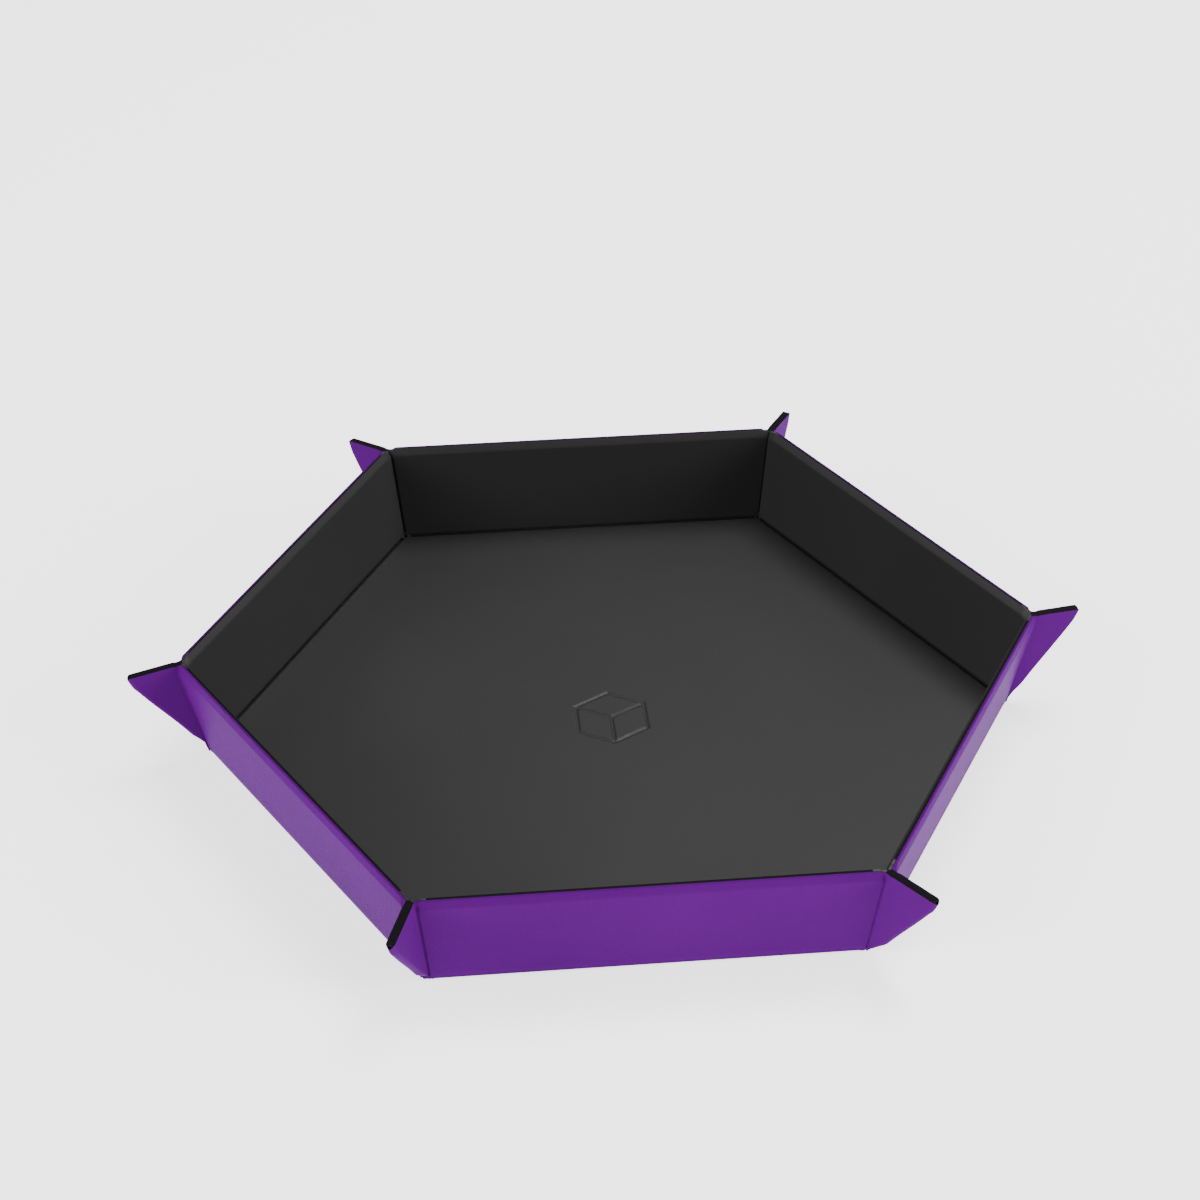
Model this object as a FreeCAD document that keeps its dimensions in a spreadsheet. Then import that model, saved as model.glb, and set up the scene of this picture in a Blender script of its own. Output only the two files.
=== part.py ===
import FreeCAD, Part
import math
import os
import Sketcher

# Folding hexagonal dice tray, folded up for use.
# Frame: +Z up, origin in the middle of the flat underside, two floor corners on the X axis.
# A sheet of leatherette (cover) and a sheet of soft lining are bonded together around stiff
# boards. The thin webs between the boards are the creases. Each corner of the flat sheet is
# pinched into an ear of two flaps, and a thin magnet in each flap holds the ear shut.
#
# Every rigid panel is drawn lying flat in its own frame: z = 0 is the bond between cover
# (below) and lining (above), and the crease it turns about runs through that plane.

doc = FreeCAD.newDocument("FoldingDiceTray")
sheet = doc.addObject("Spreadsheet::Sheet", "Dimensions")

DIMENSIONS = [
    ("side_length", "115", "side of the floor hexagon, between the crease lines"),
    ("wall_height", "31", "width of a wall, from its crease to the rim"),
    ("wall_angle", "79.5", "degrees a wall is folded up from flat"),
    ("skin", "0.65", "thickness of the cover, and of the lining"),
    ("board", "1.6", "thickness of a stiff board"),
    ("bead_fillet", "0.6", "rounding of the web that wraps a crease"),
    ("crease_start", "1.0", "where a folding panel begins, from its crease line"),
    ("floor_foot", "0.9", "foot of a raised panel, from a floor crease"),
    ("cover_foot", "1.2", "foot of a raised panel, from an ear crease, outside"),
    ("lining_foot", "0.3", "foot of a raised panel, from an ear crease, inside"),
    ("foot_taper", "45", "degrees the raised panel's sides slope"),
    ("board_inset", "2.0", "edge of a board, from its crease line"),
    ("board_play", "0.1", "room around a board in its pocket"),
    ("rim_bevel", "2.3", "width of the bevel along the rim"),
    ("rim_margin", "0.2", "bonded strip between the bevel and the board"),
    ("corner_drop", "1.1", "height of the cut at a rim corner"),
    ("corner_run", "2.6", "length of the cut at a rim corner"),
    ("corner_inset", "0.3", "raised panel behind the corner cut"),
    ("board_corner", "2.6", "board behind the corner cut"),
    ("ear_gap", "0.3", "room between the two flaps of an ear"),
    ("ear_drop", "0.8", "top of an ear below the rim line"),
    ("ear_start", "4.0", "bottom of a flap above the floor corner"),
    ("fold_clear", "0.4", "edge of a flap, from the fold between the two flaps"),
    ("ear_tip", "1.5", "rounding of the outer tip of an ear"),
    ("magnet_size", "7", "diameter of a magnet"),
    ("magnet_thick", "0.7", "thickness of a magnet"),
    ("magnet_play", "0.1", "room around a magnet"),
    ("magnet_out", "5.9", "centre of a magnet, from its ear crease"),
    ("magnet_up", "24.2", "centre of a magnet, along its ear crease"),
    ("mark_size", "12", "radius of the pressed die mark"),
    ("mark_line", "0.9", "width of a line of the mark"),
    ("mark_depth", "0.25", "depth of the mark"),
    ("cut_over", "1", "how far a cut runs past the material"),
    # Derived sizes.
    ("half_total", "=skin + board / 2", "half of a raised panel's thickness"),
    ("apothem", "=side_length * cos(30)", "middle of the floor to a crease line"),
    ("panel_rise", "=half_total - skin", "height of a raised panel over the web"),
    ("end_slope", "=tan(30) * cos(wall_angle)", "outward lean of a wall's end creases"),
    ("end_cos", "=1 / sqrt(1 + end_slope ^ 2)", "cosine of that lean"),
    ("end_sin", "=end_slope * end_cos", "sine of that lean"),
    ("ear_offset", "=skin + ear_gap / 2", "middle of a flap, from the corner's plane"),
    ("crease_shift", "=ear_offset / cos(30)", "ear crease, from the floor corner"),
    ("crease_half", "=side_length / 2 - crease_shift", "half the distance between ear creases"),
    ("flap_slope", "=(tan(30) - end_slope) / (1 + tan(30) * end_slope)", "tangent of a flap's angle"),
    ("flap_cos", "=1 / sqrt(1 + flap_slope ^ 2)", "cosine of a flap's angle"),
    ("corner_length", "=sqrt(corner_drop ^ 2 + corner_run ^ 2)", "length of the corner cut"),
    ("ear_top", "=wall_height - ear_drop", "top edge of a flap, as a height on the wall"),
]

# How far each ear is bent sideways out of its corner's plane, in degrees, anticlockwise
# from above. Ear 1 is between walls 1 and 2, at the front right; the rest follow in order.
EAR_SWINGS = [13, 15, 0, 20, 14, 9]
FIRST_WALL_DIRECTION = 270
CORNER_COUNT = 6
TURN = 360 / CORNER_COUNT

OUTSIDE = -1
INSIDE = 1


def fill_sheet():
    for index, (alias, value, note) in enumerate(DIMENSIONS, start=1):
        sheet.set(f"A{index}", alias)
        sheet.set(f"B{index}", value)
        sheet.set(f"C{index}", note)
        sheet.setAlias(f"B{index}", alias)
    for index, swing in enumerate(EAR_SWINGS, start=1):
        row = len(DIMENSIONS) + index
        sheet.set(f"A{row}", f"ear_swing_{index}")
        sheet.set(f"B{row}", str(swing))
        sheet.set(f"C{row}", "sideways bend of this ear in degrees")
        sheet.setAlias(f"B{row}", f"ear_swing_{index}")
    doc.recompute()


def size(alias):
    return float(sheet.get(alias))


def linked(expression):
    # Puts the sheet's name in front of each alias in a formula.
    words = []
    word = ""
    for letter in expression + " ":
        if letter.isalnum() or letter == "_":
            word += letter
            continue
        known = word in [row[0] for row in DIMENSIONS]
        words.append("Dimensions." + word if known else word)
        words.append(letter)
        word = ""
    return "".join(words).strip()


# ---------------------------------------------------------------- sketch and feature helpers


def new_body(name):
    body = doc.addObject("PartDesign::Body", name)
    body.Label = name
    return body


def new_sketch(body, name, height="0", plane="XY_Plane"):
    sketch = body.newObject("Sketcher::SketchObject", name)
    support = [item for item in body.Origin.OriginFeatures if item.Role == plane][0]
    sketch.AttachmentSupport = (support, "")
    sketch.MapMode = "FlatFace"
    if height != "0":
        sketch.setExpression("AttachmentOffset.Base.z", linked(height))
    return sketch


def add_polygon(sketch, corners):
    # Corners are pairs of formulas for x and y; every corner is dimensioned by the sheet.
    points = []
    for x_formula, y_formula in corners:
        x = float(sheet.evalExpression(linked(x_formula)))
        y = float(sheet.evalExpression(linked(y_formula)))
        points.append(FreeCAD.Vector(x, y, 0))
    first = sketch.GeometryCount
    count = len(corners)
    for index in range(count):
        line = Part.LineSegment(points[index], points[(index + 1) % count])
        sketch.addGeometry(line, False)
    for index in range(count):
        following = first + (index + 1) % count
        sketch.addConstraint(Sketcher.Constraint("Coincident", first + index, 2, following, 1))
    for index, (x_formula, y_formula) in enumerate(corners):
        point = points[index]
        across = Sketcher.Constraint("DistanceX", -1, 1, first + index, 1, point.x)
        sketch.setExpression(f"Constraints[{sketch.addConstraint(across)}]", linked(x_formula))
        along = Sketcher.Constraint("DistanceY", -1, 1, first + index, 1, point.y)
        sketch.setExpression(f"Constraints[{sketch.addConstraint(along)}]", linked(y_formula))


def add_circle(sketch, x_formula, y_formula, radius_formula):
    x = float(sheet.evalExpression(linked(x_formula)))
    y = float(sheet.evalExpression(linked(y_formula)))
    radius = float(sheet.evalExpression(linked(radius_formula)))
    circle = Part.Circle(FreeCAD.Vector(x, y, 0), FreeCAD.Vector(0, 0, 1), radius)
    index = sketch.addGeometry(circle, False)
    across = sketch.addConstraint(Sketcher.Constraint("DistanceX", -1, 1, index, 3, x))
    sketch.setExpression(f"Constraints[{across}]", linked(x_formula))
    along = sketch.addConstraint(Sketcher.Constraint("DistanceY", -1, 1, index, 3, y))
    sketch.setExpression(f"Constraints[{along}]", linked(y_formula))
    round_size = sketch.addConstraint(Sketcher.Constraint("Radius", index, radius))
    sketch.setExpression(f"Constraints[{round_size}]", linked(radius_formula))


def add_pad(body, name, sketch, length, side=INSIDE, taper=None):
    pad = body.newObject("PartDesign::Pad", name)
    pad.Profile = sketch
    pad.setExpression("Length", linked(length))
    pad.Reversed = side == OUTSIDE
    if taper:
        pad.setExpression("TaperAngle", linked(taper))
    doc.recompute()
    return pad


def add_pocket(body, name, sketch, depth, into):
    # A pocket is cut into the material on the given side of its sketch.
    pocket = body.newObject("PartDesign::Pocket", name)
    pocket.Profile = sketch
    pocket.setExpression("Length", linked(depth))
    pocket.Reversed = into == INSIDE
    doc.recompute()
    return pocket


def add_fillet(body, name, base, radius, wanted):
    edges = [f"Edge{index}" for index, edge in enumerate(base.Shape.Edges, start=1) if wanted(edge)]
    fillet = body.newObject("PartDesign::Fillet", name)
    fillet.Base = (base, edges)
    fillet.setExpression("Radius", linked(radius))
    doc.recompute()
    return fillet


def at_height(edge, height):
    tolerance = 1e-4
    low = abs(edge.BoundBox.ZMin - height) < tolerance
    high = abs(edge.BoundBox.ZMax - height) < tolerance
    return low and high


def upright(edge):
    ends = edge.BoundBox
    return ends.ZLength > 0.1 and ends.XLength < 1e-4 and ends.YLength < 1e-4


# ---------------------------------------------------------------- outlines


def hexagon(radius):
    corners = []
    for index in range(CORNER_COUNT):
        angle = index * TURN
        corners.append((f"({radius}) * cos({angle})", f"({radius}) * sin({angle})"))
    return corners


def floor_outline(grow):
    # The hexagon of the floor creases, moved outward by a distance.
    return hexagon(f"side_length + ({grow}) / cos(30)")


def wall_outline(low, top, end_inset, cut_inset):
    # A wall widens towards the rim, and its two rim corners are cut off.
    # low and top are heights above the floor crease; the insets are from the ear crease
    # and from the corner cut.
    inset = f"({end_inset}) / end_cos"
    cut_low = f"wall_height - corner_drop - ({cut_inset}) * corner_length / corner_run"
    cut_low = f"{cut_low} + ({inset}) * corner_drop / corner_run"
    cut_back = f"(corner_run * (({top}) - wall_height + corner_drop)"
    cut_back = f"{cut_back} + ({cut_inset}) * corner_length) / corner_drop"
    right = [
        (f"crease_half - {inset} + ({low}) * end_slope", low),
        (f"crease_half - {inset} + ({cut_low}) * end_slope", cut_low),
        (f"crease_half + ({top}) * end_slope - {cut_back}", top),
    ]
    left = [(f"-({x})", y) for x, y in reversed(right)]
    return right + left


def flap_outline(side):
    # A flap is the half of an ear between its crease and the fold in the middle of the ear.
    fold_foot = "crease_shift * (end_cos - end_sin * flap_slope) - fold_clear / flap_cos"
    tip_out = f"(({fold_foot}) + flap_slope * ear_top / end_cos) / (1 - flap_slope * end_slope)"
    corners = [
        ("crease_start", "ear_start"),
        (f"{fold_foot} + ear_start * flap_slope", "ear_start"),
        (tip_out, f"(ear_top + ({tip_out}) * end_sin) / end_cos"),
        ("crease_start", "(ear_top + crease_start * end_sin) / end_cos"),
    ]
    return [(f"{side} * ({x})", y) for x, y in corners]


# ---------------------------------------------------------------- the sheets and boards


def add_web(body, outline, side, rounded):
    # The thin bonded part of a panel, rounded where it wraps a crease.
    sketch = new_sketch(body, "WebOutline")
    add_polygon(sketch, outline)
    web = add_pad(body, "Web", sketch, "skin", side)
    face_height = side * size("skin")
    return add_fillet(
        body, "CreaseBead", web, "bead_fillet", lambda edge: at_height(edge, face_height) and rounded(edge)
    )


def add_raised_panel(body, outline, side):
    # The part of the sheet that is stretched over a board.
    sketch = new_sketch(body, "PanelOutline", f"{side} * skin")
    add_polygon(sketch, outline)
    add_pad(body, "RaisedPanel", sketch, "panel_rise", side, "-foot_taper")


def add_board_pocket(body, outline, side):
    sketch = new_sketch(body, "BoardPocketOutline")
    add_polygon(sketch, outline)
    add_pocket(body, "BoardPocket", sketch, "board / 2", side)


def add_rim_bevel(body, side):
    # Cuts the raised panel down to the bonded edge along the rim.
    sketch = new_sketch(body, "RimBevelOutline", plane="YZ_Plane")
    add_polygon(sketch, [
        ("wall_height - rim_bevel", f"{side} * half_total"),
        ("wall_height", f"{side} * skin"),
        ("wall_height + cut_over", f"{side} * skin"),
        ("wall_height + cut_over", f"{side} * (half_total + cut_over)"),
        ("wall_height - rim_bevel", f"{side} * (half_total + cut_over)"),
    ])
    bevel = body.newObject("PartDesign::Pocket", "RimBevel")
    bevel.Profile = sketch
    bevel.Midplane = True
    bevel.setExpression("Length", linked("side_length * 2"))
    doc.recompute()


def build_floor_sheet(name, side):
    body = new_body(name)
    add_web(body, floor_outline("skin"), side, lambda edge: True)
    add_raised_panel(body, floor_outline("-floor_foot"), side)
    add_board_pocket(body, floor_outline("board_play - board_inset"), side)
    return body


def build_wall_sheet(name, side):
    body = new_body(name)
    web_outline = wall_outline("crease_start", "wall_height", "-skin", "0")
    end_x = size("crease_half")

    def along_ear_crease(edge):
        middle = edge.BoundBox.Center
        return abs(middle.x) > end_x and edge.BoundBox.YLength > size("wall_height") / 2

    add_web(body, web_outline, side, along_ear_crease)
    foot = "cover_foot" if side == OUTSIDE else "lining_foot"
    add_raised_panel(body, wall_outline("floor_foot", "wall_height", foot, "corner_inset"), side)
    pocket = wall_outline(
        "board_inset - board_play",
        "wall_height - rim_bevel - rim_margin + board_play",
        "board_inset - board_play",
        "board_corner - board_play",
    )
    add_board_pocket(body, pocket, side)
    add_rim_bevel(body, side)
    return body


def build_flap_sheet(name, side, hand):
    body = new_body(name)
    sketch = new_sketch(body, "FlapOutline")
    add_polygon(sketch, flap_outline(hand))
    flap = add_pad(body, "Flap", sketch, "skin", side)
    far_out = size("magnet_out")
    add_fillet(
        body, "EarTip", flap, "ear_tip", lambda edge: upright(edge) and abs(edge.BoundBox.Center.x) > far_out
    )
    seat = new_sketch(body, "MagnetSeatOutline")
    add_circle(seat, f"{hand} * magnet_out", "magnet_up", "magnet_size / 2 + magnet_play")
    add_pocket(body, "MagnetSeat", seat, "magnet_thick / 2", side)
    return body


def build_board(name, outline):
    body = new_body(name)
    sketch = new_sketch(body, "BoardOutline", "-board / 2")
    add_polygon(sketch, outline)
    add_pad(body, "Board", sketch, "board")
    return body


def build_wall_board(name):
    outline = wall_outline(
        "board_inset", "wall_height - rim_bevel - rim_margin", "board_inset", "board_corner"
    )
    return build_board(name, outline)


def build_magnet(name, hand):
    body = new_body(name)
    sketch = new_sketch(body, "MagnetOutline", "-magnet_thick / 2")
    add_circle(sketch, f"{hand} * magnet_out", "magnet_up", "magnet_size / 2")
    add_pad(body, "Magnet", sketch, "magnet_thick")
    return body


def press_die_mark(body):
    # A plain cube drawn as a hexagon and three spokes, pressed into the lining.
    ring = new_sketch(body, "MarkRing", "half_total")
    add_polygon(ring, [(y, x) for x, y in hexagon("mark_size")])
    add_polygon(ring, [(y, x) for x, y in hexagon("mark_size - mark_line / cos(30)")])
    add_pocket(body, "MarkRingGroove", ring, "mark_depth", OUTSIDE)
    spoke = new_sketch(body, "MarkSpoke", "half_total")
    reach = "mark_size - mark_line"
    add_polygon(spoke, [
        ("-mark_line / 2", "0"),
        ("mark_line / 2", "0"),
        ("mark_line / 2", f"-({reach})"),
        ("-mark_line / 2", f"-({reach})"),
    ])
    groove = add_pocket(body, "MarkSpokeGroove", spoke, "mark_depth", OUTSIDE)
    spokes = body.newObject("PartDesign::PolarPattern", "MarkSpokes")
    spokes.Originals = [groove]
    axis = [item for item in body.Origin.OriginFeatures if item.Role == "Z_Axis"][0]
    spokes.Axis = (axis, [""])
    spokes.Angle = 360
    spokes.Occurrences = 3
    body.Tip = spokes
    doc.recompute()


# ---------------------------------------------------------------- where the panels stand


def floor_placement():
    return FreeCAD.Placement(FreeCAD.Vector(0, 0, size("half_total")), FreeCAD.Rotation())


def wall_placement(wall):
    # Local x runs clockwise along the crease and local y up the wall.
    direction = FIRST_WALL_DIRECTION + (wall - 1) * TURN
    facing = FreeCAD.Rotation(FreeCAD.Vector(0, 0, 1), direction - 90)
    lifted = FreeCAD.Rotation(FreeCAD.Vector(1, 0, 0), size("wall_angle"))
    outward = facing.multVec(FreeCAD.Vector(0, size("apothem"), 0))
    crease = FreeCAD.Placement(outward, facing.multiply(lifted))
    return floor_placement().multiply(crease)


def flap_rest_angle():
    # The turn that brings a flap from the plane of its wall to the plane of the corner.
    lean = math.radians(size("wall_angle"))
    up_wall = FreeCAD.Vector(0, math.cos(lean), math.sin(lean))
    along_wall = FreeCAD.Vector(1, 0, 0)
    along = along_wall * size("end_cos") - up_wall * size("end_sin")
    crease = along_wall * size("end_sin") + up_wall * size("end_cos")
    corner = FreeCAD.Vector(math.sin(math.radians(30)), math.cos(math.radians(30)), 0)
    across = corner.cross(FreeCAD.Vector(0, 0, 1))
    outward = across.cross(crease)
    if outward.dot(corner) < 0:
        outward = -outward
    return math.degrees(along.getAngle(outward))


def flap_placement(ear, hand):
    # hand is -1 for flap a, on the wall before the corner, and +1 for flap b, on the next wall.
    wall = ear if hand < 0 else ear % CORNER_COUNT + 1
    turn = flap_rest_angle() + hand * size(f"ear_swing_{ear}")
    lean = math.degrees(math.atan(size("end_slope")))
    start = FreeCAD.Vector(hand * size("crease_half"), 0, 0)
    tilt = FreeCAD.Rotation(FreeCAD.Vector(0, 0, 1), -hand * lean)
    fold = FreeCAD.Rotation(FreeCAD.Vector(0, 1, 0), hand * turn)
    crease = FreeCAD.Placement(start, tilt.multiply(fold))
    return wall_placement(wall).multiply(crease)


# ---------------------------------------------------------------- the assembly


def build_floor():
    cover = build_floor_sheet("cover_floor", OUTSIDE)
    lining = build_floor_sheet("lining_floor", INSIDE)
    press_die_mark(lining)
    board = build_board("board_floor", floor_outline("-board_inset"))
    for body in (cover, lining, board):
        body.Placement = floor_placement()
    return [cover, lining, board]


def build_wall(wall):
    pieces = [
        build_wall_sheet(f"cover_wall_{wall}", OUTSIDE),
        build_wall_sheet(f"lining_wall_{wall}", INSIDE),
        build_wall_board(f"board_wall_{wall}"),
    ]
    for body in pieces:
        body.Placement = wall_placement(wall)
    return pieces


def build_flap(ear, letter, hand):
    pieces = [
        build_flap_sheet(f"cover_ear_{ear}{letter}", OUTSIDE, hand),
        build_flap_sheet(f"lining_ear_{ear}{letter}", INSIDE, hand),
        build_magnet(f"magnet_ear_{ear}{letter}", hand),
    ]
    for body in pieces:
        body.Placement = flap_placement(ear, hand)
    return pieces


def check_and_write(pieces):
    for item in doc.Objects:
        if "Invalid" in item.State or "Error" in item.State:
            raise RuntimeError(f"{item.Name} is {item.State}")
    os.makedirs("parts", exist_ok=True)
    for body in pieces:
        shape = body.Shape
        if shape.isNull() or not shape.isValid() or len(shape.Solids) != 1:
            raise RuntimeError(f"{body.Label} isn't one valid solid")
        shape.exportStep(f"parts/{body.Label}.step")


fill_sheet()
pieces = build_floor()
for number in range(1, CORNER_COUNT + 1):
    pieces += build_wall(number)
for number in range(1, CORNER_COUNT + 1):
    pieces += build_flap(number, "a", -1)
    pieces += build_flap(number, "b", 1)
doc.recompute()
check_and_write(pieces)
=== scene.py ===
import math

import bpy
import numpy as np
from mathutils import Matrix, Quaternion, Vector


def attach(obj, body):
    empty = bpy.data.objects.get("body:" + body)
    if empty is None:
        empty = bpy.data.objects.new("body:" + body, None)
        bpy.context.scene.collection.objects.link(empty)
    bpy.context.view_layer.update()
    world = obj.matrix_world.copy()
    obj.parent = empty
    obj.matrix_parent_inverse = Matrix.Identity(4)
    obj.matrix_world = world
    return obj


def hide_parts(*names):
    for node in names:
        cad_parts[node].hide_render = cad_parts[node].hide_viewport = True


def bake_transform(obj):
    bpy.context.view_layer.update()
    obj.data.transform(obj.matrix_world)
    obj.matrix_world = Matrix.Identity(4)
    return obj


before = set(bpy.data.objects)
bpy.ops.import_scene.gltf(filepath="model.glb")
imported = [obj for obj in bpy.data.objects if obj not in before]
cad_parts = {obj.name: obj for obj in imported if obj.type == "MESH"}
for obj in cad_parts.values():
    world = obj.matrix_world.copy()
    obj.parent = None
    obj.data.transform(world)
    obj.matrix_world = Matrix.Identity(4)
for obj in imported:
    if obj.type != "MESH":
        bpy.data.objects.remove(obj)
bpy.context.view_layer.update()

# Sizes in millimetres, as in the CAD. A panel's own frame has x along its floor crease,
# y up the panel and h across it: the cover is on the -h side and the lining on the +h side.
MM = 0.001
SIDE = 115.0
WALL = 31.0
FOLD = math.radians(79.5)
SKIN = 0.65
BOARD = 1.6
FULL = SKIN + BOARD / 2
RISE = FULL - SKIN
APOTHEM = SIDE * math.cos(math.radians(30))
EAR_OFFSET = SKIN + 0.15
CREASE_END = SIDE / 2 - EAR_OFFSET / math.cos(math.radians(30))
LEAN = math.atan(math.tan(math.radians(30)) * math.cos(FOLD))
EAR_TOP = WALL - 0.2
EAR_SWINGS = [13, 15, 0, 20, 14, 9]
CORNERS = 6
MITRE = math.tan(math.radians(30))

OUTSIDE = -1
INSIDE = 1

# The floor's sheet stops FLOOR_SEAM short of the crease. BEND is the radius of the cover round
# the crease, and NECK is the least distance of the bond from the middle plane.
FLOOR_SEAM = 2.5
BEND = 1.35
NECK = 0.05

# The rim is bevelled, and its corners are cut lower towards the ears.
RIM_BEVEL = 2.3
BEVEL_POWER = 1.15
RIM_CUT = 0.5
RIM_CUT_RUN = 2.2


# ---------------------------------------------------------------- placing panels


def smooth(value):
    value = np.clip(value, 0.0, 1.0)
    return value * value * (3 - 2 * value)


def turn_about(axis, angle):
    x, y, z = np.array(axis, float) / np.linalg.norm(axis)
    cross = np.array([[0, -z, y], [z, 0, -x], [-y, x, 0]])
    return np.eye(3) + math.sin(angle) * cross + (1 - math.cos(angle)) * cross @ cross


def facing(wall):
    return turn_about((0, 0, 1), math.radians(180 + (wall - 1) * 60))


def hinge_to_world(wall, points):
    # points are (x, out, up) from the middle of the wall's floor crease.
    moved = np.asarray(points, float) + np.array([0, APOTHEM, 0])
    return moved @ facing(wall).T + np.array([0, 0, FULL])


def lift(points):
    # From a wall's own frame to (x, out, up).
    return np.asarray(points, float) @ turn_about((1, 0, 0), FOLD).T


def crease_turn():
    # The turn between a wall and the plane of its corner.
    up_wall = np.array([0.0, math.cos(FOLD), math.sin(FOLD)])
    side_way = np.array([1.0, 0.0, 0.0])
    crease = math.sin(LEAN) * side_way + math.cos(LEAN) * up_wall
    along = math.cos(LEAN) * side_way - math.sin(LEAN) * up_wall
    corner = np.array([0.5, math.sqrt(0.75), 0])
    outward = np.cross(np.cross(corner, (0, 0, 1)), crease)
    outward *= np.sign(outward @ corner)
    return math.acos(along @ outward)


EAR_TURN = crease_turn()


def from_crease(away, along):
    # Distance from the ear crease and distance along it, to x and y on the wall.
    x = CREASE_END + along * math.sin(LEAN) - away * math.cos(LEAN)
    y = along * math.cos(LEAN) + away * math.sin(LEAN)
    return x, y


def to_crease(x, y):
    away = -(x - CREASE_END) * math.cos(LEAN) + y * math.sin(LEAN)
    along = (x - CREASE_END) * math.sin(LEAN) + y * math.cos(LEAN)
    return away, along


# ---------------------------------------------------------------- thickness of the panels

CREASE_TOP = (WALL - RIM_CUT) / math.cos(LEAN)

# Half the width of the bend between a wall and an ear: of the cover at the foot and at the
# head, and of the lining. BEND_DIP is how far the corner of the cover is pulled in.
BEND_FOOT = 0.45
BEND_HEAD = 1.3
BEND_INSIDE = 0.4
BEND_DIP = 0.9

# How far from the ear's crease a wall's sheet gives way to the ear's, how far the ear's sheet
# laps past that, and how deep the lap lies.
SEAM_FOOT = 0.9
SEAM_HEAD = 3.4
SEAM_LAP = 0.2
LAP_SINK = 0.01

# The play between the linings of a shut ear.
FLAP_PLAY = 0.03

# The board tapers off over a short run at its foot, its top and its ends.
BOARD_FOOT = 1.1
BOARD_FOOT_RUN = 0.7
BOARD_TOP = 27.6
BOARD_TOP_RUN = 0.5
BOARD_END = 1.2
BOARD_END_RUN = 0.6

# The face of the cover goes from BEND at the floor crease out to FULL over a short run.
EASE_FROM = 0.3
EASE_RUN = 1.7


def bend_reach(along):
    # Half the width of the soft bend between a wall and its ear; it widens to the rim.
    return BEND_FOOT + (BEND_HEAD - BEND_FOOT) * np.clip(along / CREASE_TOP, 0, 1)


def rim_line(away):
    return WALL - RIM_CUT * smooth(1 - away / RIM_CUT_RUN)


def rim_share(x, y):
    away, _ = to_crease(np.abs(x), y)
    gap = rim_line(away) - y
    return 1 - np.clip(1 - gap / RIM_BEVEL, 0, 1) ** BEVEL_POWER


def panel_depth(x, y, side):
    # From the bond to the outer face of the cover or the lining.
    share = rim_share(x, y)
    panel = SKIN + RISE * share
    if side == OUTSIDE:
        foot = smooth((y - EASE_FROM) / EASE_RUN)
        panel = panel + (BEND - FULL) * (1 - foot) * share
    return panel


def board_depth(x, y):
    # From the bond to the face of the board.
    away, _ = to_crease(np.abs(x), y)
    low = smooth((y - BOARD_FOOT) / BOARD_FOOT_RUN)
    top = 1 - smooth((y - BOARD_TOP) / BOARD_TOP_RUN)
    end = smooth((away - BOARD_END) / BOARD_END_RUN)
    return np.maximum(BOARD / 2 * low * top * end, NECK)


# ---------------------------------------------------------------- meshes


def add_mesh(name, points, faces, skin_faces, dark_edge_start, materials):
    # The first skin_faces are smooth; from the dark edge start on, faces take the dark edge
    # material: a cut edge on the ears, painted shade on the walls' lining rim.
    mesh = bpy.data.meshes.new(name)
    mesh.from_pydata([tuple(point) for point in points * MM], [], faces)
    for material in materials:
        mesh.materials.append(material)
    obj = bpy.data.objects.new(name, mesh)
    bpy.context.scene.collection.objects.link(obj)
    for polygon in mesh.polygons:
        polygon.use_smooth = polygon.index < skin_faces
        polygon.material_index = 0 if polygon.index < dark_edge_start else len(materials) - 1
    mesh.set_sharp_from_angle(angle=math.radians(50))
    return obj


def shell(name, outer, inner, materials, first_dark_edge_column=None):
    # A closed thin solid between two grids of points. The edge along the last row takes the dark
    # edge material from the given first column on: a cut edge on the ears, painted shade along the
    # rim top of the walls' lining.
    rows, columns = outer.shape[:2]
    points = np.concatenate([outer.reshape(-1, 3), inner.reshape(-1, 3)])
    count = rows * columns

    def at(row, column, layer):
        return layer * count + row * columns + column

    faces = []
    for layer in (0, 1):
        for row in range(rows - 1):
            for column in range(columns - 1):
                face = [at(row, column, layer), at(row, column + 1, layer)]
                face += [at(row + 1, column + 1, layer), at(row + 1, column, layer)]
                faces.append(tuple(face if layer == 0 else reversed(face)))
    skin_faces = len(faces)
    top = [(rows - 1, column) for column in reversed(range(columns))]
    dark_edge_count = 0 if first_dark_edge_column is None else columns - 1 - first_dark_edge_column
    paths = [
        [(0, column) for column in range(columns)],
        [(row, columns - 1) for row in range(rows)],
        [(row, 0) for row in reversed(range(rows))],
        top[dark_edge_count:],
        top[:dark_edge_count + 1],
    ]
    dark_edge_start = 0
    for path in paths:
        dark_edge_start = len(faces)
        for start, end in zip(path, path[1:]):
            faces.append((at(*start, 0), at(*start, 1), at(*end, 1), at(*end, 0)))
    middle = (rows // 2, columns // 2)
    thick = outer[middle] - inner[middle]
    across = outer[rows // 2, columns // 2 + 1] - outer[middle]
    down = outer[rows // 2 + 1, columns // 2] - outer[middle]
    if np.dot(np.cross(across, down), thick) < 0:
        faces = [tuple(reversed(face)) for face in faces]
    return add_mesh(name, points, faces, skin_faces, dark_edge_start, materials)


# ---------------------------------------------------------------- the floor

MARK_RADIUS = 12.0
MARK_LINE = 0.9
MARK_DEPTH = 0.28
MARK_SLOPE = 0.5
FAR_FROM_MARK = 9.0


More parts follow.
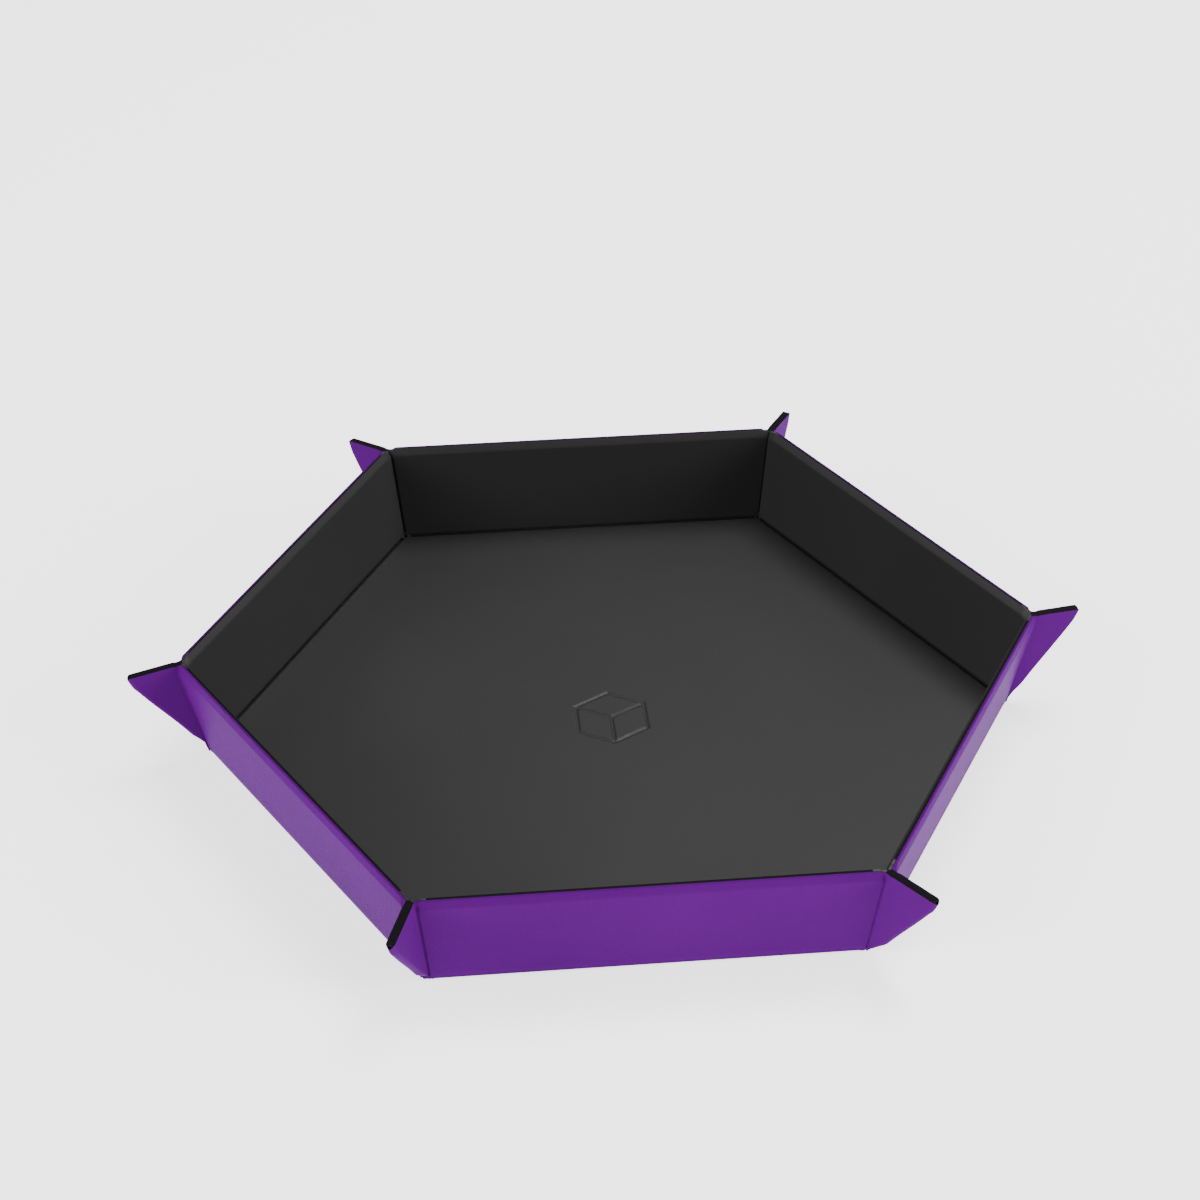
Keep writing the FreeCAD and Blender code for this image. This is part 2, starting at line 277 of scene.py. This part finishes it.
def mark_depth(x, y):
    # A plain cube drawn as a hexagon and three spokes, pressed into the lining.
    reach = np.zeros_like(x)
    for index in range(CORNERS):
        angle = math.radians(index * 60)
        reach = np.maximum(reach, x * math.cos(angle) + y * math.sin(angle))
    side_at = MARK_RADIUS * math.cos(math.radians(30)) - MARK_LINE / 2
    nearest = np.abs(reach - side_at)
    for index in range(3):
        angle = math.radians(-90 + index * 120)
        along = x * math.cos(angle) + y * math.sin(angle)
        aside = np.abs(-x * math.sin(angle) + y * math.cos(angle))
        spoke = np.where((along > 0) & (reach < side_at), aside, FAR_FROM_MARK)
        nearest = np.minimum(nearest, spoke)
    return MARK_DEPTH * smooth(((MARK_LINE + MARK_SLOPE) / 2 - nearest) / MARK_SLOPE)


def build_floor_sheet(side, materials):
    # Fine round rings in the middle for the mark, then rings that turn gradually six-sided.
    columns = 360
    angles = np.radians(np.arange(columns + 1) * 360 / columns)
    in_sector = (np.degrees(angles) % 60) - 30
    edge = (APOTHEM - FLOOR_SEAM) / np.cos(np.radians(in_sector))
    fine = np.arange(0.25, 14.1, 0.25)
    first_share = 0.17
    turning_over = 0.4
    coarse = np.linspace(first_share, 1.0, 14)
    outer = []
    for radius in fine:
        outer.append(np.stack([radius * np.cos(angles), radius * np.sin(angles)], 1))
    for share in coarse:
        reach = np.clip((share - first_share) / turning_over, 0, 1)
        distance = (1 - reach) * share * (APOTHEM - FLOOR_SEAM) + reach * share * edge
        outer.append(np.stack([distance * np.cos(angles), distance * np.sin(angles)], 1))
    flat = np.array(outer)[:, :columns]
    height = np.full(flat.shape[:2], FULL)
    if side == INSIDE:
        height = height - mark_depth(flat[..., 0], flat[..., 1])
    rows = flat.shape[0]
    top = np.dstack([flat, FULL + side * height]).reshape(-1, 3)
    low = np.dstack([flat, np.full(flat.shape[:2], FULL + side * BOARD / 2)]).reshape(-1, 3)
    centres = [[0, 0, FULL + side * FULL], [0, 0, FULL + side * BOARD / 2]]
    points = np.concatenate([top, low, centres])
    count = rows * columns
    faces = []
    for layer in (0, 1):
        start = layer * count
        for row in range(rows - 1):
            for column in range(columns):
                following = (column + 1) % columns
                faces.append((
                    start + row * columns + column,
                    start + (row + 1) * columns + column,
                    start + (row + 1) * columns + following,
                    start + row * columns + following,
                ))
        for column in range(columns):
            faces.append((2 * count + layer, start + column, start + (column + 1) % columns))
        if layer == 0:
            half = len(faces)
    faces = faces[:half] + [tuple(reversed(face)) for face in faces[half:]]
    skin_faces = len(faces)
    last = (rows - 1) * columns
    for column in range(columns):
        following = (column + 1) % columns
        rim = last + column, last + following
        faces.append((rim[0], count + rim[0], count + rim[1], rim[1]))
    if side == OUTSIDE:
        faces = [tuple(reversed(face)) for face in faces]
    name = "lining_floor_sheet" if side == INSIDE else "cover_floor_sheet"
    return add_mesh(name, points, faces, skin_faces, len(faces), materials)


# ---------------------------------------------------------------- the walls


def seam_x(y):
    # Where a wall's own sheet stops and its ear's sheet begins.
    x_low, y_low = from_crease(SEAM_FOOT, 0.0)
    x_top, y_top = from_crease(SEAM_HEAD, CREASE_TOP)
    return x_low + (x_top - x_low) * (y - y_low) / (y_top - y_low)


def even_columns():
    # Shares of a wall's half length, even in the middle and closer near the ears.
    inner = np.linspace(-0.9, 0.9, 61)
    outer = 1 - 0.1 * np.linspace(1, 0, 17)[1:] ** 1.5
    return np.concatenate([-outer[::-1], inner, outer])


def wall_rows():
    # Shares of the wall's height, closer at the crease and at the rim.
    low = np.linspace(0.0, 3.2, 17)
    middle = np.linspace(4.2, 25.8, 16)
    top = np.linspace(26.3, WALL, 20)
    return np.concatenate([low, middle, top]) / WALL


CUT_FROM = 18.0
CUT_RUN = 12.0


def wall_grid():
    # The part of a wall above its floor crease, as rows of x and y. Above CUT_FROM the rows
    # sink towards the corner cuts.
    spread = even_columns()
    rows = []
    for share in wall_rows():
        y_flat = share * WALL
        x_end = seam_x(y_flat)
        x = spread * x_end
        away, _ = to_crease(np.abs(x), np.full_like(x, y_flat))
        cut = smooth((y_flat - CUT_FROM) / CUT_RUN)
        y = y_flat - (WALL - rim_line(away)) * cut
        rows.append((x * (seam_x(y) / x_end), y))
    return rows


def outer_floor_profile():
    back = np.array([FLOOR_SEAM, 2.2, 1.9, 1.6, 1.3, 1.0, 0.75, 0.5, 0.3, 0.15])
    depth = BEND + (FULL - BEND) * smooth((back - EASE_FROM) / EASE_RUN)
    outer = [(-q, -h) for q, h in zip(back, depth)]
    board = np.maximum(BOARD / 2 * smooth((back - BOARD_FOOT) / BOARD_FOOT_RUN), NECK)
    inner = [(-q, -h) for q, h in zip(back, board)]
    for angle in np.linspace(0, FOLD, 13):
        outer.append((BEND * math.sin(angle), -BEND * math.cos(angle)))
        inner.append((NECK * math.sin(angle), -NECK * math.cos(angle)))
    return outer, inner


GROOVE_FLOOR = 1.12


def inner_floor_profile():
    # The lining dips into a narrow groove along the crease; the second half mirrors the first.
    across = np.array([math.cos(FOLD / 2), math.sin(FOLD / 2)])

    def mirror(point):
        return tuple(np.array(point) - 2 * (np.array(point) @ across) * across)

    first = [(-FLOOR_SEAM, FULL), (-2.1, FULL), (-1.9, 1.445), (-1.75, 1.41)]
    first += [(-1.65, 1.33), (-1.58, 1.2), (-1.45, 1.04), (-1.18, 0.95)]
    bottom = (-GROOVE_FLOOR * math.sin(FOLD / 2), GROOVE_FLOOR * math.cos(FOLD / 2))
    mirrored = [mirror(point) for point in reversed(first)]
    outer = first + [bottom] + mirrored
    inner = []
    for index, point in enumerate(outer):
        reach = abs(point[0]) if index < len(first) else 0.0
        if index == len(first):
            inner.append((-NECK, NECK))
        elif index < len(first):
            height = max(BOARD / 2 * float(smooth((reach - 1.9) / 0.5)), NECK)
            inner.append((-max(reach - 0.9, 0.1), height))
        else:
            inner.append(mirror(inner[2 * len(first) - index]))
    inner[0] = (-FLOOR_SEAM, BOARD / 2)
    inner[-1] = mirror(inner[0])
    return outer, inner


def strip_rows(profile, spread):
    rows = []
    for out, up in profile:
        x = spread * (SIDE / 2 + out * MITRE)
        rows.append(np.stack([x, np.full_like(x, out), np.full_like(x, up)], 1))
    return rows


# The cover flares out to the mitred corner over this height.
FOOT_FLARE = 1.6


def build_wall_sheet(wall, side, materials):
    spread = even_columns()
    if side == OUTSIDE:
        outer_path, inner_path = outer_floor_profile()
        first_y = 0.0
    else:
        outer_path, inner_path = inner_floor_profile()
        first_y = FLOOR_SEAM
    outer = strip_rows(outer_path, spread)
    inner = strip_rows(inner_path, spread)
    corner_x = SIDE / 2 + BEND * MITRE
    for x, y in wall_grid():
        if y.min() <= first_y + 0.05:
            continue
        reach = smooth(y / FOOT_FLARE) if side == OUTSIDE else np.ones_like(y)
        x = x + np.sign(x) * (1 - reach) * np.abs(spread) * (corner_x - seam_x(y))
        face = np.stack([x, y, side * panel_depth(x, y, side)], 1)
        bond = np.stack([x, y, side * board_depth(x, y)], 1)
        outer.append(lift(face))
        inner.append(lift(bond))
    outer = hinge_to_world(wall, np.array(outer))
    inner = hinge_to_world(wall, np.array(inner))
    name = ("lining" if side == INSIDE else "cover") + f"_wall_{wall}_sheet"
    # On the lining the whole rim top takes the dark edge material: painted shade, so the top of
    # the lining shows dark instead of lit from above.
    return shell(name, outer, inner, materials, 0 if side == INSIDE else None)


def blend_wall(obj):
    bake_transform(obj)


# ---------------------------------------------------------------- the ears

# The ears start this far along the crease, a little below the wall's foot.
FOLD_FOOT = -0.7
FLAP_SKIN = 0.42

# How far each ear's fold swells at its foot, in order, and how it swells and is cut at its tip.
FOOT_SWELLS = [2.3, 1.6, 1.5, 1.5, 0.9, 1.6]
TIP_SWELL = 1.1
TIP_CUT = 0.9
TIP_ROUND = 1.1

# The heel of the fold lifts off the floor, and the cover wraps over the lining by LIP.
HEEL_LIFT = 2.4
HEEL_SHARE = 0.2
LIP = 1.25

# The top edge of an ear's sheet shows as a cut edge from this column on, counted from the wall.
FIRST_CUT_COLUMN = 14


def flap_turn(ear, hand):
    return EAR_TURN + hand * math.radians(EAR_SWINGS[ear - 1])


def fold_line(ear, share):
    # Distance out from the crease and distance along it, of a point on the fold of the ear.
    # The fold swells away from its straight line, is cut short at the tip and rises at the heel.
    sector = math.radians(30) - LEAN
    foot = (SIDE / 2 - CREASE_END) * np.array([math.cos(LEAN), math.sin(LEAN)])
    length = EAR_TOP / math.cos(math.radians(30)) * share
    swell = FOOT_SWELLS[ear - 1] * (1 - float(smooth((share - 0.1) / 0.95)))
    swell += TIP_SWELL * float(smooth((share - 0.25) / 0.6))
    swell -= TIP_CUT * max((share - 0.88) / 0.12, 0.0) ** 1.3
    rise = np.array([0.0, HEEL_LIFT * max(1 - share / HEEL_SHARE, 0.0)])
    way = np.array([math.sin(sector), math.cos(sector)])
    normal = np.array([math.cos(sector), -math.sin(sector)])
    return foot + length * way + swell * normal + rise


def bend_corner(side, depth, turn, flap_height):
    # Where the face of the wall and the face of the flap would meet in a sharp corner.
    away = side * (depth * math.cos(turn) - flap_height) / math.sin(turn)
    return np.array([away, side * depth])


def cross_section(ear, share, side, turn, flap_height, fold_slide, lip_rise):
    # One cut across the crease, from the wall to the fold of the ear: a list of
    # (face point, bond point, along), each point being (away, h).
    along = FOLD_FOOT + (CREASE_TOP - FOLD_FOOT) * share
    flap_way = np.array([-math.cos(turn), -math.sin(turn)])
    flap_up = np.array([-math.sin(turn), math.cos(turn)])
    x, y = from_crease(0.0, along)
    depth = float(panel_depth(x, y, side))
    corner = bend_corner(side, depth, turn, flap_height)
    reach = float(bend_reach(along)) if side == OUTSIDE else BEND_INSIDE
    seam_top = (WALL - SEAM_HEAD * math.sin(LEAN)) / math.cos(LEAN)
    seam_at = FOLD_FOOT + (seam_top - FOLD_FOOT) * share
    seam = SEAM_FOOT + (SEAM_HEAD - SEAM_FOOT) * max(seam_at / CREASE_TOP, 0.0)
    start = min(corner[0] + reach, seam - 0.05)
    cuts = []
    for away in [seam + SEAM_LAP] + list(np.linspace(seam, start, 9)[:-1]):
        top = (float(rim_line(away)) - away * math.sin(LEAN)) / math.cos(LEAN)
        at = FOLD_FOOT + (top - FOLD_FOOT) * share
        x, y = from_crease(away, at)
        sink = LAP_SINK if away > seam else 0.0
        face = np.array([away, side * (float(panel_depth(x, y, side)) - sink)])
        bond_away = reach + (away - start) / (seam - start) * (seam - reach)
        cuts.append((face, np.array([bond_away, side * float(board_depth(x, max(y, 0.0)))]), at))
    first = np.array([start, side * depth])
    last = corner + reach * flap_way
    pull = corner * (1 - BEND_DIP / np.linalg.norm(corner)) if side == OUTSIDE else corner
    for step in np.linspace(0, 1, 11):
        face = (1 - step) ** 2 * first + 2 * step * (1 - step) * pull + step ** 2 * last
        angle = turn * step
        spread = reach * (1 - 2 * step)
        bond = side * NECK * np.array([-math.sin(angle), math.cos(angle)])
        bond = bond + (np.array([spread, 0]) if spread > 0 else -spread * flap_way)
        cuts.append((face, bond, along))
    fold_out, fold_along = fold_line(ear, share)
    fold_out = fold_out + fold_slide
    face_start = float(last @ flap_way)
    lip = min(LIP, 0.8 * (fold_out - face_start)) if side == OUTSIDE else SKIN

    def along_flap(out):
        at = along + (fold_along - along) * max(out, 0.0) / fold_out
        bend = min(max(out - fold_out + TIP_ROUND, 0.0) / TIP_ROUND, 1.0)
        return at - TIP_ROUND * (1 - math.sqrt(1 - bend ** 2)) * float(smooth((share - 0.8) / 0.2))

    for step in np.linspace(0, 1, 17)[1:]:
        out = face_start + (fold_out - lip - face_start) * step
        bond_out = reach + (fold_out - lip - reach) * step
        face = out * flap_way + side * flap_height * flap_up
        cuts.append((face, bond_out * flap_way + side * NECK * flap_up, along_flap(out)))
    if side == OUTSIDE:
        for angle in np.radians([12, 24, 36, 48, 60, 72, 84, 90]):
            out = fold_out - lip * (1 - math.sin(angle))
            rise = -flap_height + lip_rise * (1 - math.cos(angle))
            inner_out = fold_out - lip + max(lip - 0.6, 0.1) * math.sin(angle)
            inner_rise = -NECK + (lip_rise - flap_height + NECK - 0.02) * (1 - math.cos(angle))
            face = out * flap_way + rise * flap_up
            cuts.append((face, inner_out * flap_way + inner_rise * flap_up, along_flap(out)))
    return cuts


def flap_wall(ear, letter):
    # Flap a hangs on the wall before the ear, and flap b on the wall after it.
    return ear if letter == "a" else ear % CORNERS + 1


def build_flap_sheet(ear, letter, side, materials):
    hand = -1 if letter == "a" else 1
    wall = flap_wall(ear, letter)
    turn = flap_turn(ear, hand)
    swing = math.radians(EAR_SWINGS[ear - 1])
    middle = EAR_OFFSET * math.cos(swing)
    flap_height = FLAP_SKIN if side == OUTSIDE else middle - FLAP_PLAY
    fold_slide = -hand * EAR_OFFSET * math.sin(swing)
    lip_rise = FLAP_SKIN + middle - FLAP_PLAY / 2
    outer = []
    inner = []
    for share in np.linspace(0, 1, 53):
        face_row = []
        bond_row = []
        section = cross_section(ear, share, side, turn, flap_height, fold_slide, lip_rise)
        for face, bond, along in section:
            for point, row in ((face, face_row), (bond, bond_row)):
                x, y = from_crease(point[0], along)
                row.append((hand * x, y, point[1]))
        outer.append(lift(face_row))
        inner.append(lift(bond_row))
    outer = hinge_to_world(wall, np.array(outer))
    inner = hinge_to_world(wall, np.array(inner))
    name = ("lining" if side == INSIDE else "cover") + f"_ear_{ear}{letter}_sheet"
    return shell(name, outer, inner, materials, FIRST_CUT_COLUMN)


def blend_flap(obj):
    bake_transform(obj)


# ---------------------------------------------------------------- materials


def new_material(name):
    material = bpy.data.materials.new(name)
    material.use_nodes = True
    nodes = material.node_tree.nodes
    return material, nodes, material.node_tree.links, nodes["Principled BSDF"]


def texture_place(nodes, links):
    place = nodes.new("ShaderNodeTexCoord")
    mapping = nodes.new("ShaderNodeMapping")
    links.new(place.outputs["Object"], mapping.inputs["Vector"])
    return mapping.outputs["Vector"]


def ramp(nodes, links, source, stops):
    node = nodes.new("ShaderNodeValToRGB")
    elements = node.color_ramp.elements
    elements[0].position, elements[0].color = stops[0]
    elements[1].position, elements[1].color = stops[-1]
    for position, color in stops[1:-1]:
        elements.new(position).color = color
    links.new(source, node.inputs["Fac"])
    return node.outputs["Color"]


def noise(nodes, links, place, scale, detail):
    node = nodes.new("ShaderNodeTexNoise")
    node.inputs["Scale"].default_value = scale
    node.inputs["Detail"].default_value = detail
    links.new(place, node.inputs["Vector"])
    return node


def grey(value):
    return (value, value, value, 1)


def add_bump(nodes, links, shader, height, strength, distance):
    bump = nodes.new("ShaderNodeBump")
    bump.inputs["Strength"].default_value = strength
    bump.inputs["Distance"].default_value = distance
    links.new(height, bump.inputs["Height"])
    links.new(bump.outputs["Normal"], shader.inputs["Normal"])


def leatherette():
    # A fine pebble grain over an even purple, with slow changes of shade.
    material, nodes, links, shader = new_material("purple_leatherette")
    place = texture_place(nodes, links)
    cells = nodes.new("ShaderNodeTexVoronoi")
    cells.feature = "SMOOTH_F1"
    cells.inputs["Scale"].default_value = 1500.0
    cells.inputs["Smoothness"].default_value = 0.7
    cells.inputs["Randomness"].default_value = 0.9
    links.new(place, cells.inputs["Vector"])
    fine = noise(nodes, links, place, 2600.0, 3.0)
    slow = noise(nodes, links, place, 22.0, 4.0)
    shade = ramp(nodes, links, slow.outputs["Fac"], [
        (0.25, (0.058, 0.0003, 0.107, 1)),
        (0.5, (0.064, 0.0004, 0.118, 1)),
        (0.75, (0.070, 0.0005, 0.129, 1)),
    ])
    links.new(shade, shader.inputs["Base Color"])
    worn = ramp(nodes, links, fine.outputs["Fac"], [(0.3, grey(0.40)), (0.7, grey(0.52))])
    links.new(worn, shader.inputs["Roughness"])
    # The height is the pebbles plus a share of the fine noise.
    mix = nodes.new("ShaderNodeMath")
    mix.operation = "MULTIPLY_ADD"
    mix.inputs[1].default_value = 0.35
    links.new(fine.outputs["Fac"], mix.inputs[0])
    links.new(cells.outputs["Distance"], mix.inputs[2])
    add_bump(nodes, links, shader, mix.outputs[0], 0.18, 0.00025)
    shader.inputs["Specular IOR Level"].default_value = 0.009
    shader.inputs["Sheen Weight"].default_value = 0.006
    shader.inputs["Sheen Roughness"].default_value = 0.3
    shader.inputs["Sheen Tint"].default_value = (0.8, 0.5, 1.0, 1)
    return material


def soft_lining():
    # Short-nap microfibre: tiny fibres in the bump, cloudy brushing in the shade.
    material, nodes, links, shader = new_material("black_microfibre")
    place = texture_place(nodes, links)
    nap = noise(nodes, links, place, 3000.0, 4.0)
    nap.inputs["Roughness"].default_value = 0.7
    cloud = noise(nodes, links, place, 14.0, 5.0)
    cloud.inputs["Distortion"].default_value = 0.6
    shade = ramp(nodes, links, cloud.outputs["Fac"], [
        (0.2, (0.0116, 0.0113, 0.0116, 1)),
        (0.5, (0.0134, 0.0130, 0.0134, 1)),
        (0.8, (0.0152, 0.0148, 0.0152, 1)),
    ])
    links.new(shade, shader.inputs["Base Color"])
    rough = ramp(nodes, links, nap.outputs["Fac"], [(0.3, grey(0.46)), (0.7, grey(0.56))])
    links.new(rough, shader.inputs["Roughness"])
    add_bump(nodes, links, shader, nap.outputs["Fac"], 0.12, 0.0002)
    shader.inputs["Specular IOR Level"].default_value = 0.30
    shader.inputs["Sheen Weight"].default_value = 0.01
    shader.inputs["Sheen Roughness"].default_value = 0.5
    return material


def cut_edge_and_rim_shade():
    # The raw edge of the bonded sheets on the ears: dark backing with a slightly fibrous grain.
    # Laid on the whole rim top of the walls' lining, the same dark colour is painted shade.
    material, nodes, links, shader = new_material("dark_cut_edge_and_rim_shade")
    place = texture_place(nodes, links)
    fibre = noise(nodes, links, place, 1800.0, 3.0)
    shade = ramp(nodes, links, fibre.outputs["Fac"], [
        (0.3, (0.0030, 0.0028, 0.0034, 1)), (0.7, (0.0055, 0.0050, 0.0060, 1)),
    ])
    links.new(shade, shader.inputs["Base Color"])
    shader.inputs["Roughness"].default_value = 0.8
    shader.inputs["Specular IOR Level"].default_value = 0.08
    add_bump(nodes, links, shader, fibre.outputs["Fac"], 0.2, 0.0001)
    return material


def grey_board():
    material, nodes, links, shader = new_material("grey_board")
    place = texture_place(nodes, links)
    pulp = noise(nodes, links, place, 700.0, 6.0)
    shade = ramp(nodes, links, pulp.outputs["Fac"], [
        (0.35, (0.26, 0.24, 0.21, 1)), (0.65, (0.40, 0.37, 0.33, 1)),
    ])
    links.new(shade, shader.inputs["Base Color"])
    shader.inputs["Roughness"].default_value = 0.9
    add_bump(nodes, links, shader, pulp.outputs["Fac"], 0.3, 0.0002)
    return material


def nickel():
    material, nodes, links, shader = new_material("nickel_plate")
    place = texture_place(nodes, links)
    haze = noise(nodes, links, place, 900.0, 4.0)
    rough = ramp(nodes, links, haze.outputs["Fac"], [(0.3, grey(0.16)), (0.7, grey(0.32))])
    links.new(rough, shader.inputs["Roughness"])
    shader.inputs["Base Color"].default_value = (0.62, 0.60, 0.57, 1)
    shader.inputs["Metallic"].default_value = 1.0
    return material


def repaint_hidden_nodes(board, metal):
    hidden = {"board": board, "magnet": metal}
    for name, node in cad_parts.items():
        material = hidden.get(name.split("_")[0])
        if material:
            node.data.materials.clear()
            node.data.materials.append(material)


# ---------------------------------------------------------------- the assembly


def build_tray():
    purple = leatherette()
    black = soft_lining()
    edge = cut_edge_and_rim_shade()
    repaint_hidden_nodes(grey_board(), nickel())
    for side, prefix, face, slot in (
        (OUTSIDE, "cover", purple, "cover_leatherette"), (INSIDE, "lining", black, "soft_lining"),
    ):
        materials = [face, edge]
        floor = build_floor_sheet(side, materials)
        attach(floor, "floor")
        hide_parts(f"{prefix}_floor")
        for wall in range(1, CORNERS + 1):
            obj = build_wall_sheet(wall, side, materials)
            blend_wall(obj)
            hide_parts(f"{prefix}_wall_{wall}")
        for ear in range(1, CORNERS + 1):
            for letter in "ab":
                obj = build_flap_sheet(ear, letter, side, materials)
                blend_flap(obj)
                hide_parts(f"{prefix}_ear_{ear}{letter}")


# ---------------------------------------------------------------- studio


def build_stage():
    mesh = bpy.data.meshes.new("studio_floor")
    reach = 40.0
    corners = [(-reach, -reach, 0), (reach, -reach, 0), (reach, reach, 0), (-reach, reach, 0)]
    mesh.from_pydata(corners, [], [(0, 1, 2, 3)])
    stage = bpy.data.objects.new("studio_floor", mesh)
    stage.location.z = -0.0002
    bpy.context.scene.collection.objects.link(stage)
    material, nodes, links, shader = new_material("pale_floor")
    shader.inputs["Base Color"].default_value = (0.9, 0.9, 0.9, 1)
    shader.inputs["Roughness"].default_value = 0.8
    shader.inputs["Emission Color"].default_value = (1, 1, 1, 1)
    shader.inputs["Emission Strength"].default_value = 1.8
    mesh.materials.append(material)


def add_area(name, location, target, size, power):
    data = bpy.data.lights.new(name, "AREA")
    data.shape = "RECTANGLE"
    data.size, data.size_y = size
    data.energy = power
    light = bpy.data.objects.new(name, data)
    light.location = location
    way = Vector(target) - Vector(location)
    light.rotation_euler = way.to_track_quat("-Z", "Y").to_euler()
    bpy.context.scene.collection.objects.link(light)


def build_light():
    world = bpy.data.worlds.new("studio")
    bpy.context.scene.world = world
    world.use_nodes = True
    world.node_tree.nodes["Background"].inputs["Color"].default_value = (1, 1, 1, 1)
    world.node_tree.nodes["Background"].inputs["Strength"].default_value = 0.30
    add_area("soft_box_back", (0.42, 0.42, 1.25), (0.05, 0, 0), (0.65, 0.65), 19)
    add_area("soft_box_right", (1.9, -0.8, 0.8), (0, 0, 0), (1.0, 1.0), 49)
    add_area("soft_box_left", (-1.85, -0.80, 0.95), (0, 0, 0), (1.0, 1.0), 46)


CAMERA_AZIMUTH = math.radians(-5.119)
CAMERA_ELEVATION = math.radians(35.824)
CAMERA_ROLL = math.radians(-0.208)
CAMERA_DISTANCE = 0.8123
CAMERA_TARGET = Vector((0.00236, 0.0617, 0.0002))
CAMERA_LENS = 78.80


def build_camera():
    data = bpy.data.cameras.new("camera")
    data.sensor_width = 36
    data.lens = CAMERA_LENS
    data.clip_start = 0.01
    data.clip_end = 50
    camera = bpy.data.objects.new("camera", data)
    back = Vector((
        math.sin(CAMERA_AZIMUTH) * math.cos(CAMERA_ELEVATION),
        -math.cos(CAMERA_AZIMUTH) * math.cos(CAMERA_ELEVATION),
        math.sin(CAMERA_ELEVATION),
    ))
    camera.location = CAMERA_TARGET + back * CAMERA_DISTANCE
    level = (-back).to_track_quat("-Z", "Y")
    camera.rotation_euler = (Quaternion(back, CAMERA_ROLL) @ level).to_euler()
    bpy.context.scene.collection.objects.link(camera)
    bpy.context.scene.camera = camera


build_tray()
build_stage()
build_light()
build_camera()
